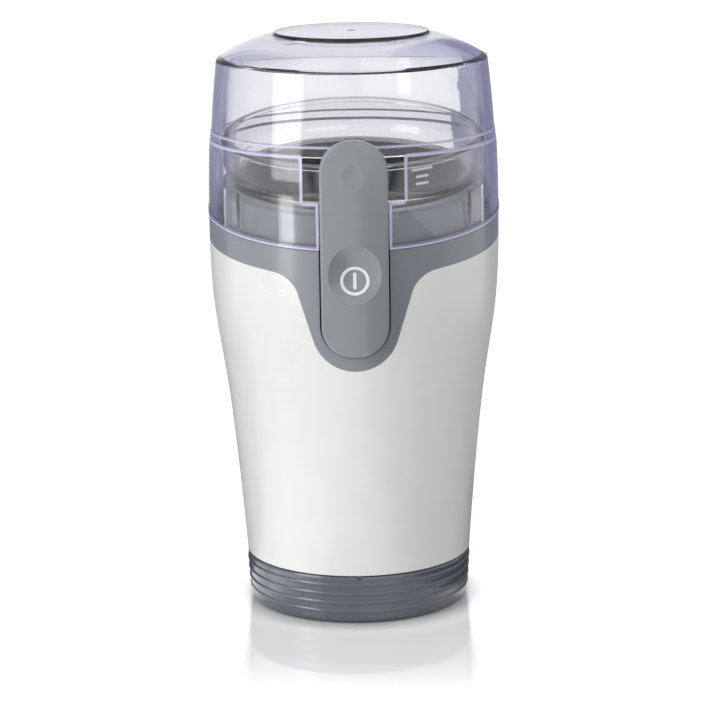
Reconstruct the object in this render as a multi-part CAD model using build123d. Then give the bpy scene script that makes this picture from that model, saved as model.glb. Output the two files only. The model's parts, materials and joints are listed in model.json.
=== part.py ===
"""Electric spice grinder: a hand-high blade grinder with a front press lever and a clear lid.

Millimetres, +Z up. The origin is on the table under the drive axis, and the lever faces -Y.
Every separate piece is written to parts/NAME.step.
"""
from build123d import *
import os
from math import asin, cos, degrees, hypot, radians, sin, sqrt, tan

# ---------------------------------------------------------------- outer form
seam_z = 16.0           # joint between the ribbed base and the body
seam_r = 35.4
waist_z = 50.0
waist_r = 38.2
hip_z = 76.0
hip_r = 41.2
chest_z = 95.0
chest_r = 44.0
shoulder_z = 118.0
shoulder_r = 45.05
ring_z = 147.1          # lower edge of the raised ring round the lid
ring_r = 44.45
crown_drop = 9.0        # from the top to where the lid's side meets its rounded shoulder
crown_r = 42.35
top_z = 180.0
slant = 7.5             # how far the lid's edge, collar and cup rim dip to the front, degrees

# ---------------------------------------------------------------- clearances
fit_gap = 0.3           # between pieces that move or slide past each other
close_gap = 0.15        # between fixed pieces
weld = 0.05             # how far parts of one moulding run into each other
running_gap = 0.05      # round a turning shaft
thread_clearance = 0.04
screw_clearance = 0.2

# ---------------------------------------------------------------- base
foot_r = 4.2
foot_height = 2.0
foot_recess = 1.5
foot_ring = 28.2
foot_tab_r = 5.4
foot_tab_thickness = 3.0
base_bottom_z = 0.5
base_r = 35.65
base_wall = 2.6
base_bevel = 1.3
base_lean = 0.9         # how much narrower the base is at its foot
rib_count = 4
rib_pitch = 2.88
rib_first_z = 4.15
rib_proud = 0.3
rib_half_width = 0.72
base_shoulder = 0.75
seam_line_width = 1.1
seam_line_depth = 0.4
seam_notch = 1.3
ceiling_z = 28.5        # top of the cord store's ceiling
ceiling_thickness = 2.5
sleeve_r = 31.6
sleeve_wall = 2.2
column_r = 4.4
base_screw_ring = 26.4
spool_r = 11.5
spool_wall = 2.0
spool_flange_r = 17.5
spool_flange_thickness = 2.0
spool_flange_z = 2.2
cord_notch_width = 8.0
cord_notch_height = 8.0
cord_r = 3.0
gland_ring = 23.4
gland_r = 4.6
gland_flange = 1.1
vent_count = 6
vent_width = 2.2
vent_inner = 3.5
vent_outer = 8.5

# ---------------------------------------------------------------- screws
screw_r = 1.5
screw_head_r = 2.7
screw_head_height = 1.8
boss_r = 3.9
base_screw_length = 14.0
base_boss_height = 12.6
collar_screw_length = 14.0
collar_post_r = 3.4
collar_post_ring = 31.6
collar_post_z = 60.0
collar_tab_thickness = 3.0

# ---------------------------------------------------------------- body and collar
body_wall = 2.4
collar_z = 117.4        # slanted joint between body and collar, on the axis
collar_wall = 3.2
tongue_height = 5.0
tongue_wall = 1.6
lip_z = 125.1           # slanted ledge that the lid rests on, on the axis
ledge_thickness = 2.6
neck_inset = 2.8        # from the narrowest of chest, shoulder and ring
neck_wall = 3.8
neck_z = 135.3          # slanted top of the neck, on the axis
neck_edge = 0.8
well_wall = 2.4
deck_z = 96.0
deck_thickness = 3.0
drive_hole_r = 9.0
key_count = 3
key_height = 2.2
key_width = 5.0
key_length = 3.6
key_ring = 29.0
key_start = 30.0        # azimuth of the first key
drop_bottom_z = 82.2    # the collar's tongue-shaped drop round the lever
drop_r = 13.2
drop_flare = 17.0
drop_fillet = 9.0
drop_top_z = 112.4
cheek_wall = 2.4
cheek_bottom_z = 85.0
cheek_depth = 3.7       # behind the pin

# ---------------------------------------------------------------- lever
pocket_gap = 0.5
lever_half = 10.1
lever_bottom_z = 86.9
lever_top_z = 153.0
lever_round = 9.6
lever_bow_r = 60.0      # sideways curve of its front
lever_foot_proud = 0.25   # how far its front stands out from the widest of the form
lever_mid_proud = 3.25
lever_mid_z = 112.0
lever_head_proud = 4.85
lever_edge = 0.9
lever_back_room = 0.8   # behind it at the deck
lever_neck_room = 2.7   # and higher up, where it swings in furthest
lever_cup_room = 3.7
lever_step_drop = 1.9   # below the lid's ring
lever_step_rise = 1.2
lever_head_gap = 2.9
pivot_inset = 4.7       # inside the neck's face
pivot_z = 90.2
pivot_r = 1.25
pivot_clearance = 0.06
ear_r = 2.4             # round the pin
ear_inner = 5.6
ear_outer = 7.0
ear_block_z = 88.8
foot_merge = 0.8        # into the lever's back
foot_depth = 3.7
foot_top_z = 92.2
heel_half = 2.4
heel_bottom_z = 88.1
heel_overhang = 1.7     # past the plunger
heel_thickness = 3.0
dish_z = 110.9
dish_sphere_r = 24.0
dish_depth = 1.8
thumb_z = 141.5
thumb_sphere_r = 45.0
thumb_depth = 0.2
icon_r = 4.35
icon_stroke = 0.9
icon_bar_width = 1.0
icon_bar_height = 5.1
icon_depth = 0.4
icon_proud = 0.04
spring_wire_r = 0.3
spring_r = 1.95
spring_start_x = 2.9
spring_end_x = 5.1
spring_turns = 3.25
spring_up_leg = 2.2
spring_back_leg = 3.5
rest_bar_top_z = 87.5
rest_bar_depth = 2.0

# ---------------------------------------------------------------- lid
lid_wall = 2.4
lid_ring_inset = 0.2
lid_ring_height = 3.1
lid_dome_inset = 0.45
lid_turn_inset = 0.35    # the shoulder's curve passes this point
lid_turn_rise = 1.0
lid_turn_lean = 70.0
lid_dome_edge_inset = 1.75
lid_dome_edge_rise = 1.6
lid_dome_edge_lean = 50.0
lid_dome_mid_r = 33.0
lid_dome_mid_drop = 3.4
lid_dome_mid_lean = 22.0
lid_plateau_lean = 8.0
lid_step_r = 24.3
lid_step_height = 0.8
lid_plateau_r = 23.6
lid_lip_bead = 0.25      # outward bead on its lower edge
lid_lip_height = 1.4
lid_gate_r = 1.4
lid_gate_depth = 0.3
notch_half = 10.5
notch_top_half = 15.1
notch_step_drop = 13.5
lid_rib_azimuth = 58.5  # locating ribs inside the skirt, measured from the front
lid_rib_half_angle = 4.6
lid_rib_z = 137.4

# ---------------------------------------------------------------- chamber
cup_rim_inset = 4.25    # clear cup's rim inside the lid's ring, in its slanted plane
cup_rim_z = 149.0
cup_wall = 1.9
cup_straight = 7.0
cup_shoulder_inset = 0.7
cup_shoulder_drop = 10.6
cup_bottom_drop = 13.4
cup_inner_shoulder_inset = 0.6
cup_inner_shoulder_drop = 9.9
cup_inner_bottom_drop = 12.6
cup_stem_gap = 0.5
cup_rim_bead = 0.5
cup_bead_height = 1.5
cup_joint_drop = 10.0      # where the slanted part meets the stem
chamber_rim_height = 4.0
chamber_floor_rise = 10.0   # above the deck
chamber_plug_gap = 0.15
chamber_recess_r = 10.4
chamber_boss_r = 7.0
chamber_boss_height = 4.0
chamber_groove_inner_r = 13.0
chamber_groove_outer_r = 25.0
chamber_floor_thickness = 3.2
bowl_wall = 0.6
bowl_height = 13.0
bowl_corner = 5.0
bowl_gap = 0.3
mark_count = 3
mark_height = 0.8
mark_pitch = 2.2
mark_first_drop = 1.8
mark_azimuth = 30.0
mark_half_angle = 5.0
mark_depth = 0.15

# ---------------------------------------------------------------- blade and its shaft
blade_shaft_r = 2.5
bushing_wall = 2.0
seal_r = 5.2
seal_height = 1.0
blade_rise = 1.8        # above the boss
blade_thickness = 1.5
blade_reach = 29.0
blade_root_half = 6.0
blade_tip_half = 3.4
blade_bend_x = 11.0
blade_bend_up = 14.0
blade_bend_down = 8.0
blade_overlap = 0.4
nut_r = 4.2
nut_height = 2.6
nut_lip = 0.9
coupling_r = 7.2
drive_coupling_rise = 0.6     # above the deck
drive_coupling_plate = 2.0
lug_count = 3
lug_height = 2.4
lug_inner_r = 3.6
lug_angle = 48.0
blade_coupling_plate = 2.0
thrust_r = 4.2
thrust_thickness = 0.4
thrust_gap = 0.1
shoulder_disc_r = 3.6
shoulder_disc_height = 0.5

# ---------------------------------------------------------------- motor
motor_shaft_r = 3.0
cushion_height = 2.5
cushion_r = 17.0
cushion_inner_r = 10.5
bracket_thickness = 3.0
bracket_hub_r = 16.0
bracket_arm = 7.0
upper_plate_r = 21.0
bearing_wall = 2.0
bearing_length = 6.0
bearing_boss_r = 7.6
stator_z = 56.0
stack = 20.0
stator_half_x = 27.0
stator_half_y = 23.0
stator_corner = 7.0
window_half_x = 20.5
window_half_y = 17.0
window_corner = 5.0
bore_r = 13.8
pole_half = 8.0
shoe_thickness = 2.6
shoe_half_angle = 56.0
air_gap = 0.5
slot_count = 12
slot_width = 1.8
slot_depth = 4.6
slot_lining = 0.1
overhang = 5.0
winding_r = 12.2
winding_inner_r = 4.6
coil_thickness = 3.5
coil_build = 5.0
coil_gap = 0.3
coil_corner = 5.5
commutator_r = 8.0
commutator_z = 41.4
commutator_length = 9.0
commutator_bars = 12
commutator_slit = 0.5
commutator_slit_depth = 1.0
riser_r = 9.2
riser_height = 0.8
brush_gap = 0.1
brush_width = 5.2
brush_height = 6.2
brush_length = 8.0
brush_z = 45.6
holder_wall = 0.9
holder_inner_x = 9.6
holder_outer_x = 22.0
pedestal_inner_x = 12.0
brush_spring_r = 1.9
brush_spring_wire_r = 0.25
brush_spring_turns = 6
fan_z = 82.2
fan_r = 19.5
fan_plate = 1.2
fan_height = 4.2
fan_hub_r = 6.0
fan_blades = 12
fan_blade_thickness = 1.0
motor_screw_x = 22.4
motor_screw_y = 18.4
motor_screw_r = 1.6
motor_post_r = 3.1
mount_ring = 16.6
mount_count = 3
mount_screw_length = 5.6
mount_washer_r = 4.2
mount_washer_height = 1.7

# ---------------------------------------------------------------- switch and electrical pieces
switch_length = 19.8
switch_depth = 6.4
switch_height = 10.2
switch_y = -25.2
switch_edge = 0.4
plunger_r = 1.1
plunger_gap = 0.1
plunger_stroke = 0.5
plunger_show = 0.7
plunger_inside = 3.0
switch_screw_r = 1.15
switch_screw_head_r = 2.0
switch_screw_half_spacing = 4.75
switch_screw_drop = 7.6
switch_screw_length = 7.9
switch_plate_half = 12.5
switch_plate_thickness = 1.7
terminal_width = 4.8
terminal_length = 6.0
terminal_thickness = 0.8
terminal_pitch = 7.0
capacitor_width = 12.0
capacitor_depth = 7.0
capacitor_height = 14.0
capacitor_x = 11.5
capacitor_z = 58.0
capacitor_edge = 1.0
lead_r = 0.45
lead_length = 5.0
fuse_r = 2.0
fuse_length = 11.0
fuse_x = -15.0

# ---------------------------------------------------------------- worked out from the sizes above
big = 4 * top_z
centred = (Align.CENTER, Align.CENTER, Align.CENTER)
upright = (Align.CENTER, Align.CENTER, Align.MIN)
hanging = (Align.CENTER, Align.CENTER, Align.MAX)
crown_z = top_z - crown_drop
form_stations = [
    (seam_r, seam_z), (waist_r, waist_z), (hip_r, hip_z), (chest_r, chest_z),
    (shoulder_r, shoulder_z), (ring_r, ring_z), (crown_r, crown_z),
]
base_screw_azimuths = [0, 90, 270]
foot_azimuths = [45, 135, 225, 315]
collar_post_azimuths = [90, 180, 270]
ceiling_low = ceiling_z - ceiling_thickness
base_screw_seat_z = ceiling_low - base_wall
deck_bottom_z = deck_z - deck_thickness
narrowest_r = min(chest_r, shoulder_r, ring_r)
widest_r = max(chest_r, shoulder_r, ring_r)
neck_r = narrowest_r - neck_inset
well_r = neck_r - neck_wall
chamber_bottom_z = deck_z + fit_gap
cup_bottom_z = chamber_bottom_z + chamber_rim_height
cup_stem_r = well_r - cup_stem_gap
cup_inner_r = cup_stem_r - cup_wall
cup_r = ring_r - cup_rim_inset
cup_shoulder_r = cup_r - cup_shoulder_inset
cup_inner_shoulder_r = cup_r - cup_wall - cup_inner_shoulder_inset
lid_ring_top_z = ring_z + lid_ring_height
lid_dome_edge_r = crown_r - lid_dome_edge_inset
lid_dome_edge_z = crown_z + lid_dome_edge_rise
lid_dome_mid_z = top_z - lid_dome_mid_drop
lid_step_z = top_z - lid_step_height
notch_step_z = ring_z - notch_step_drop
lever_foot_y = -widest_r - lever_foot_proud
lever_mid_y = -widest_r - lever_mid_proud
lever_head_y = -widest_r - lever_head_proud
lever_back_r = neck_r + lever_back_room
lever_back_top_r = max(neck_r + lever_neck_room, cup_r + lever_cup_room)
lever_step_z = ring_z - lever_step_drop
pivot_y = pivot_inset - neck_r
foot_front_y = -lever_back_r - foot_merge
foot_back_y = foot_front_y + foot_depth
cheek_inner_y = pivot_y + cheek_depth
heel_end_y = switch_y + heel_overhang
chamber_floor_z = deck_z + chamber_floor_rise
chamber_boss_z = chamber_floor_z + chamber_boss_height
chamber_groove_top_z = chamber_floor_z - chamber_floor_thickness
blade_z = chamber_boss_z + blade_rise
plunger_top_z = heel_bottom_z - plunger_gap
switch_top_z = plunger_top_z - plunger_stroke - plunger_show
switch_z = switch_top_z - switch_height
switch_front_y = switch_y - switch_depth / 2
switch_back_y = switch_y + switch_depth / 2
bracket_z = ceiling_z + cushion_height
lower_bearing_z = bracket_z + bracket_thickness
stator_top_z = stator_z + stack
upper_bracket_z = deck_bottom_z - mount_washer_height - bracket_thickness
upper_bearing_z = deck_bottom_z - close_gap - bearing_length
armature_r = bore_r - air_gap
drive_coupling_z = deck_z + drive_coupling_rise
drive_lug_z = drive_coupling_z + drive_coupling_plate
blade_coupling_z = drive_lug_z + lug_height + fit_gap
thrust_z = blade_coupling_z + blade_coupling_plate
bushing_z = thrust_z + thrust_thickness + thrust_gap
blade_top_z = blade_z + blade_thickness


# ---------------------------------------------------------------- shape helpers
def disc(radius, low, high, x=0.0, y=0.0):
    """Upright cylinder between two heights."""
    return Pos(x, y, low) * Cylinder(radius, high - low, align=upright)


def tube(outer, inner, low, high, x=0.0, y=0.0):
    """Upright pipe between two heights."""
    return disc(outer, low, high, x, y) - disc(inner, low, high, x, y)


def block(x_range, y_range, z_range):
    """Box between two corners, given as a range along each axis."""
    ranges = (x_range, y_range, z_range)
    size = [high - low for low, high in ranges]
    centre = [(high + low) / 2 for low, high in ranges]
    return Pos(*centre) * Box(*size)


def rod(radius, length, x, y, z):
    """Cylinder along X, centred on a point."""
    return Pos(x, y, z) * Rot(0, 90, 0) * Cylinder(radius, length)


def turned(points):
    """Solid of revolution about Z from a closed outline of (radius, height) points."""
    outline = Polyline(*[(r, 0, z) for r, z in points], close=True)
    return revolve(make_face(outline), Axis.Z)


def around(count, start=0.0):
    """Rotations about Z that spread copies evenly."""
    return [Rot(0, 0, start + 360 * i / count) for i in range(count)]


def polar(radius, azimuth):
    """Point at a radius and azimuth, measured from the front (-Y) towards +X."""
    return radius * sin(radians(azimuth)), -radius * cos(radians(azimuth))


def joined(shapes):
    """One solid from shapes that touch."""
    result = shapes[0]
    for shape in shapes[1:]:
        result += shape
    return result


def group(shapes):
    """Separate solids kept in one node."""
    return Compound([solid for shape in shapes for solid in shape.solids()])


def under_slant(height):
    """Everything below the slanted plane that crosses the axis at this height."""
    return Pos(0, 0, height) * Rot(slant, 0, 0) * Box(big, big, big, align=hanging)


def form_solid(inset, low=seam_z, high=crown_z):
    """The grinder's outer form, pulled in by inset, between two heights."""
    with BuildSketch(Plane.XZ) as section:
        with BuildLine():
            side = Spline(*[(r - inset, z) for r, z in form_stations])
            Polyline(side @ 1, (0, crown_z), (0, seam_z), side @ 0)
        make_face()
    return revolve(section.sketch, Axis.Z) & disc(big / 4, low, high)


def front_prism(face_on_xz):
    """Prism from an outline on the XZ plane, reaching out past the front."""
    return extrude(face_on_xz, amount=big / 4)


def bar_outline(half, low, high, corner, gap=0.0):
    """Upright rounded bar on the XZ plane, grown by a gap all round."""
    with BuildSketch(Plane.XZ) as outline:
        with Locations((0, (low + high) / 2)):
            RectangleRounded(2 * (half + gap), high - low + 2 * gap, corner + gap)
    return outline.sketch


def drop_outline():
    """Outline of the collar's drop on the XZ plane, with flared, filleted shoulders."""
    flare = radians(drop_flare)
    half_turn = radians((90 - drop_flare) / 2)
    side_x = drop_r * cos(flare)
    side_z = drop_bottom_z + drop_r - drop_r * sin(flare)
    corner_x = side_x + (drop_top_z - side_z) * tan(flare)
    reach = drop_fillet * tan(half_turn)
    turn_x, turn_z = corner_x - reach * sin(flare), drop_top_z - reach * cos(flare)
    end_x = corner_x + reach
    mid_x, mid_z = end_x - drop_fillet * sin(half_turn), drop_top_z - drop_fillet * (1 - cos(half_turn))
    with BuildSketch(Plane.XZ) as outline:
        with BuildLine():
            ThreePointArc((-side_x, side_z), (0, drop_bottom_z), (side_x, side_z))
            Line((side_x, side_z), (turn_x, turn_z))
            ThreePointArc((turn_x, turn_z), (mid_x, mid_z), (end_x, drop_top_z))
            Polyline((end_x, drop_top_z), (end_x, top_z), (-end_x, top_z), (-end_x, drop_top_z))
            ThreePointArc((-end_x, drop_top_z), (-mid_x, mid_z), (-turn_x, turn_z))
            Line((-turn_x, turn_z), (-side_x, side_z))
        make_face()
    return outline.sketch


def screw(length, shank_r=screw_r, head_r=screw_head_r, head_height=screw_head_height):
    """Screw with its head's seat at the origin and its shank pointing up."""
    shank = Cylinder(shank_r, length - shank_r, align=upright)
    tip = Pos(0, 0, length - shank_r) * Cone(shank_r, shank_r / 2, shank_r, align=upright)
    head = Cylinder(head_r, head_height, align=hanging)
    cross = Box(head_r, head_r / 4, head_height) + Box(head_r / 4, head_r, head_height)
    return shank + tip + head - Pos(0, 0, -head_height) * cross


def helix_wire(radius, wire_r, turns, pitch):
    """Helical wire round the Z axis, starting at the origin's height."""
    path = Helix(pitch, pitch * turns, radius)
    section = Plane(path @ 0, z_dir=path % 0) * Circle(wire_r)
    return sweep(section, path, is_frenet=True)


# ---------------------------------------------------------------- base
def base_face_r(height):
    """Radius of the base's outer face between its beads, which leans in towards the foot."""
    top = seam_z - seam_line_depth
    return base_r - rib_proud - base_lean * (top - height) / (top - base_bottom_z)


def base_skirt():
    """Outer ring with raised beads round it, and a raised land inside that the body stands on."""
    top = seam_z - seam_line_depth
    foot = base_bottom_z
    inner_r = base_r - base_wall - base_lean
    foot_face = base_face_r(foot)
    points = [(inner_r, foot), (foot_face - base_bevel, foot)]
    points += [(foot_face - base_bevel * 0.3, foot + base_bevel * 0.25), (foot_face, foot + base_bevel)]
    for i in range(rib_count):
        z = rib_first_z + rib_pitch * i
        face = base_face_r(z)
        for lift, proud in ((-1, 0), (-0.7, 0.7), (-0.25, 1), (0.25, 1), (0.7, 0.7), (1, 0)):
            points.append((face + rib_proud * proud, z + rib_half_width * lift))
    shoulder = base_r - rib_proud
    points += [(shoulder, top - base_shoulder), (shoulder - base_shoulder / 4, top - base_shoulder / 4)]
    points += [(base_r - seam_line_width, top), (base_r - seam_line_width, seam_z)]
    points += [(sleeve_r - sleeve_wall, seam_z), (sleeve_r - sleeve_wall, seam_z - base_wall)]
    points += [(inner_r, seam_z - base_wall)]
    return turned(points)


def base_housing():
    """Base: skirt, sleeve up into the body, the cord store's ceiling, spool and foot tabs."""
    flange_top = spool_flange_z + spool_flange_thickness
    part = base_skirt()
    part += tube(sleeve_r, sleeve_r - sleeve_wall, seam_z - base_wall, ceiling_z)
    part += disc(sleeve_r, ceiling_low, ceiling_z)
    part += tube(spool_r, spool_r - spool_wall, spool_flange_z, ceiling_low + weld)
    part += tube(spool_flange_r, spool_r - spool_wall, spool_flange_z, flange_top)
    for azimuth in foot_azimuths:
        tab = disc(foot_tab_r, base_bottom_z, base_bottom_z + foot_tab_thickness, *polar(foot_ring, azimuth))
        part += tab & disc(base_r - base_wall, 0, seam_z)
    for azimuth in base_screw_azimuths:
        place = polar(base_screw_ring, azimuth)
        part += disc(column_r, base_screw_seat_z - base_wall, ceiling_z, *place)
        part -= disc(screw_head_r + screw_clearance, 0, base_screw_seat_z, *place)
        part -= disc(screw_r + screw_clearance, 0, ceiling_z, *place)
    for azimuth in foot_azimuths:
        part -= disc(foot_r + close_gap, 0, base_bottom_z + foot_recess, *polar(foot_ring, azimuth))
    part -= disc(gland_r, ceiling_low, ceiling_z, 0, gland_ring)
    half = cord_notch_width / 2
    notch_top = base_bottom_z + cord_notch_height
    part -= block((-half, half), (base_r - 2 * base_wall, top_z), (0, notch_top - half))
    part -= Pos(0, base_r, notch_top - half) * Rot(90, 0, 0) * Cylinder(half, 4 * base_wall)
    vent = block((vent_inner, vent_outer), (-vent_width / 2, vent_width / 2), (ceiling_low, ceiling_z))
    for turn in around(vent_count):
        part -= turn * vent
    notch = block((-seam_notch / 2, seam_notch / 2), (-top_z, seam_line_width - base_r), (0, top_z))
    return part - (notch & disc(top_z, seam_z - seam_notch, top_z))


def rubber_feet():
    """Four rubber discs under the base."""
    feet = []
    for azimuth in foot_azimuths:
        foot = disc(foot_r, 0, foot_height, *polar(foot_ring, azimuth))
        feet.append(fillet(foot.edges().group_by(Axis.Z)[0], foot_height / 4))
    return group(feet)


def base_screws():
    """Screws from the base's columns up into the body's bosses."""
    places = [polar(base_screw_ring, azimuth) for azimuth in base_screw_azimuths]
    return group([Pos(x, y, base_screw_seat_z) * screw(base_screw_length) for x, y in places])


def cord_gland():
    """Rubber gland in the ceiling that the mains cord comes in through."""
    part = disc(gland_r, ceiling_low, ceiling_z, 0, gland_ring)
    part += disc(gland_r + gland_flange, ceiling_low - gland_flange, ceiling_low, 0, gland_ring)
    part += disc(gland_r + gland_flange, ceiling_z, ceiling_z + gland_flange, 0, gland_ring)
    return part - disc(cord_r, 0, top_z, 0, gland_ring)


# ---------------------------------------------------------------- body
def body_shell():
    """Waisted outer shell, with bosses for the base screws and tabs for the collar screws."""
    part = form_solid(0) - form_solid(body_wall)
    inside = form_solid(body_wall / 2)
    boss_top = ceiling_z + base_boss_height
    for azimuth in base_screw_azimuths:
        place = polar(base_screw_ring, azimuth)
        rib = Rot(0, 0, azimuth) * block((-1, 1), (-top_z, -base_screw_ring), (ceiling_z, boss_top))
        part += (disc(boss_r, ceiling_z, boss_top, *place) + rib) & inside
        part -= disc(screw_r + thread_clearance, ceiling_z, boss_top, *place)
    low, high = collar_post_z - collar_tab_thickness, collar_post_z
    for azimuth in collar_post_azimuths:
        place = polar(collar_post_ring, azimuth)
        tab = block((-collar_post_r, collar_post_r), (-top_z, -collar_post_ring), (low, high))
        part += (disc(collar_post_r, low, high, *place) + Rot(0, 0, azimuth) * tab) & inside
        part -= disc(screw_r + screw_clearance, low, high, *place)
    part &= under_slant(collar_z)
    return part - front_prism(drop_outline())


# ---------------------------------------------------------------- collar
def pocket_cut():
    """Room for the lever: down to the neck's face, and right through below the deck."""
    outline = bar_outline(lever_half, lever_bottom_z, 2 * lever_top_z, lever_round, pocket_gap)
    cut = front_prism(outline)
    above = cut - disc(neck_r, 0, big)
    below = cut & block((-top_z, top_z), (-top_z, cheek_inner_y), (0, deck_bottom_z))
    return above + below


def collar_band():
    """Outer band between body and lid, its drop round the lever, and the ledge inside."""
    skin = form_solid(0) - form_solid(collar_wall)
    band = (skin - under_slant(collar_z)) + (skin & front_prism(drop_outline()))
    ledge = form_solid(0) - disc(well_r, 0, big)
    ledge = (ledge & under_slant(lip_z)) - under_slant(lip_z - ledge_thickness)
    return (band & under_slant(lip_z)) + ledge


def collar_tongue():
    """Tongue that fits inside the body shell, left out round the lever."""
    inset = body_wall + close_gap
    tongue = form_solid(inset) - form_solid(inset + tongue_wall)
    tongue = (tongue & under_slant(lip_z - ledge_thickness + weld)) - under_slant(collar_z - tongue_height)
    return tongue - block((-top_z, top_z), (-top_z, -neck_r * cos(radians(45))), (0, top_z))


def chamber_well():
    """Neck, the thinner well wall below it, and the deck."""
    neck = disc(neck_r, 0, top_z) & under_slant(neck_z)
    neck = chamfer(neck.faces().sort_by(Axis.Z)[-1].edges(), neck_edge)
    neck -= under_slant(lip_z - ledge_thickness)
    lower = disc(well_r + well_wall, deck_bottom_z, top_z) & under_slant(lip_z)
    well = neck + lower - disc(well_r, deck_z, top_z)
    half = key_width / 2
    low, high = key_ring - key_length / 2, key_ring + key_length / 2
    key = block((low, high), (-half, half), (deck_z - weld, deck_z + key_height))
    return joined([well] + [turn * key for turn in around(key_count, key_start)])


def lever_housing():
    """Wall behind the lever, and two cheeks under the deck that carry its pin."""
    inside = form_solid(body_wall + close_gap)
    inner = lever_half + pocket_gap
    outer = inner + cheek_wall
    wall = block((-outer, outer), (-top_z, 0), (deck_bottom_z, lip_z)) & inside
    wall &= under_slant(lip_z - ledge_thickness / 2)
    wall -= disc(well_r, 0, top_z)
    cheek = block((inner, outer), (-top_z, cheek_inner_y), (cheek_bottom_z, deck_z)) & inside
    cheek -= disc(well_r, deck_z - weld, top_z)
    return wall + cheek + mirror(cheek, about=Plane.YZ)


def switch_plate():
    """Plate that hangs from the deck in front of the switch, slotted for the lever's heel."""
    y_range = (switch_front_y - switch_plate_thickness, switch_front_y)
    plate = block((-switch_plate_half, switch_plate_half), y_range, (switch_z, deck_bottom_z + weld))
    slot_half = heel_half + 2 * fit_gap
    plate -= block((-slot_half, slot_half), (2 * y_range[0], 0), (switch_top_z, deck_bottom_z))
    for x in (-switch_screw_half_spacing, switch_screw_half_spacing):
        hole = Rot(90, 0, 0) * Cylinder(switch_screw_r + thread_clearance, 4 * switch_plate_thickness)
        plate -= Pos(x, switch_front_y, switch_top_z - switch_screw_drop) * hole
    return plate


def spring_rest():
    """Bar between the cheeks that the springs push down on."""
    half = lever_half + pocket_gap + weld
    y_range = (cheek_inner_y - rest_bar_depth, cheek_inner_y)
    return block((-half, half), y_range, (cheek_bottom_z, rest_bar_top_z))


def collar():
    """Grey top housing: band, ledge, neck, chamber well, deck, posts and lever pocket."""
    part = collar_band() + collar_tongue() + chamber_well() + lever_housing()
    for azimuth in collar_post_azimuths:
        part += disc(collar_post_r, collar_post_z, deck_z - weld, *polar(collar_post_ring, azimuth))
    part = part - pocket_cut() + switch_plate() + spring_rest()
    part -= disc(drive_hole_r, 0, top_z)
    pin_span = 2 * (lever_half + pocket_gap + cheek_wall) - 2 * weld
    part -= rod(pivot_r, pin_span, 0, pivot_y, pivot_z)
    for turn in around(mount_count, 90):
        hole = disc(screw_r + screw_clearance, 0, top_z, mount_ring)
        hole += disc(screw_head_r + screw_clearance, deck_z - screw_head_height, top_z, mount_ring)
        part -= turn * (hole & disc(well_r, deck_bottom_z, deck_z + weld))
    for azimuth in collar_post_azimuths:
        place = polar(collar_post_ring, azimuth)
        part -= disc(screw_r + thread_clearance, collar_post_z, collar_post_z + collar_screw_length, *place)
    return part


def collar_screws():
    """Screws up through the body's tabs into the collar's posts."""
    seat_z = collar_post_z - collar_tab_thickness
    places = [polar(collar_post_ring, azimuth) for azimuth in collar_post_azimuths]
    return group([Pos(x, y, seat_z) * screw(collar_screw_length) for x, y in places])


# ---------------------------------------------------------------- lever
def lever_arc():
    """Centre (y, z) and radius of the circle through the lever front's foot, middle and head."""
    y1, z1, y2, z2 = lever_foot_y, lever_bottom_z, lever_mid_y, lever_mid_z
    y3, z3 = lever_head_y, lever_top_z
    a, b, e = y2 - y1, z2 - z1, (y2**2 - y1**2 + z2**2 - z1**2) / 2
    c, d, f = y3 - y1, z3 - z1, (y3**2 - y1**2 + z3**2 - z1**2) / 2
    y = (e * d - b * f) / (a * d - b * c)
    z = (a * f - e * c) / (a * d - b * c)
    return y, z, hypot(y - y1, z - z1)


def lever_front_y(height):
    """Y of the lever's front face in its middle plane."""
    y, z, radius = lever_arc()
    return y - sqrt(radius**2 - (height - z) ** 2)


def lever_front():
    """Solid whose front face is the lever's, bowed along its length and sideways."""
    axis_y = lever_mid_y + lever_bow_r
    low, mid, high = lever_bottom_z - 2, lever_mid_z, lever_top_z + 2
    heights = [(axis_y - lever_front_y(z), z) for z in (low, mid, high)]
    with BuildSketch(Plane.XZ) as section:
        with BuildLine():
            ThreePointArc(*heights)
            Polyline(heights[2], (0, high), (0, low), heights[0])
        make_face()
    return Pos(0, axis_y, 0) * revolve(section.sketch, Axis.Z)


def behind_lever():
    """What is hollowed from behind the lever: the neck's room and, above, the lid's."""
    head_r = ring_r - lid_ring_inset + lever_head_gap
    return turned([
        (0, 0), (lever_back_r, 0), (lever_back_r, deck_z), (lever_back_top_r, neck_z),
        (lever_back_top_r, lever_step_z), (head_r, lever_step_z + lever_step_rise), (head_r, big), (0, big),
    ])


def pressing_ball(radius, depth, height, growth=0.0):
    """Ball that presses a shallow dish of this depth into the lever's front."""
    return Pos(0, lever_front_y(height) + depth - radius, height) * Sphere(radius + growth)


def icon_prism():
    """Ring and bar of the power mark, as a prism through the lever's face."""
    with BuildSketch(Plane.XZ) as outline:
        with Locations((0, dish_z)):
            Circle(icon_r)
            Circle(icon_r - icon_stroke, mode=Mode.SUBTRACT)
            SlotOverall(icon_bar_height, icon_bar_width, rotation=90)
    return Pos(0, -lever_back_r, 0) * extrude(outline.sketch, amount=dish_sphere_r)


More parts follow.
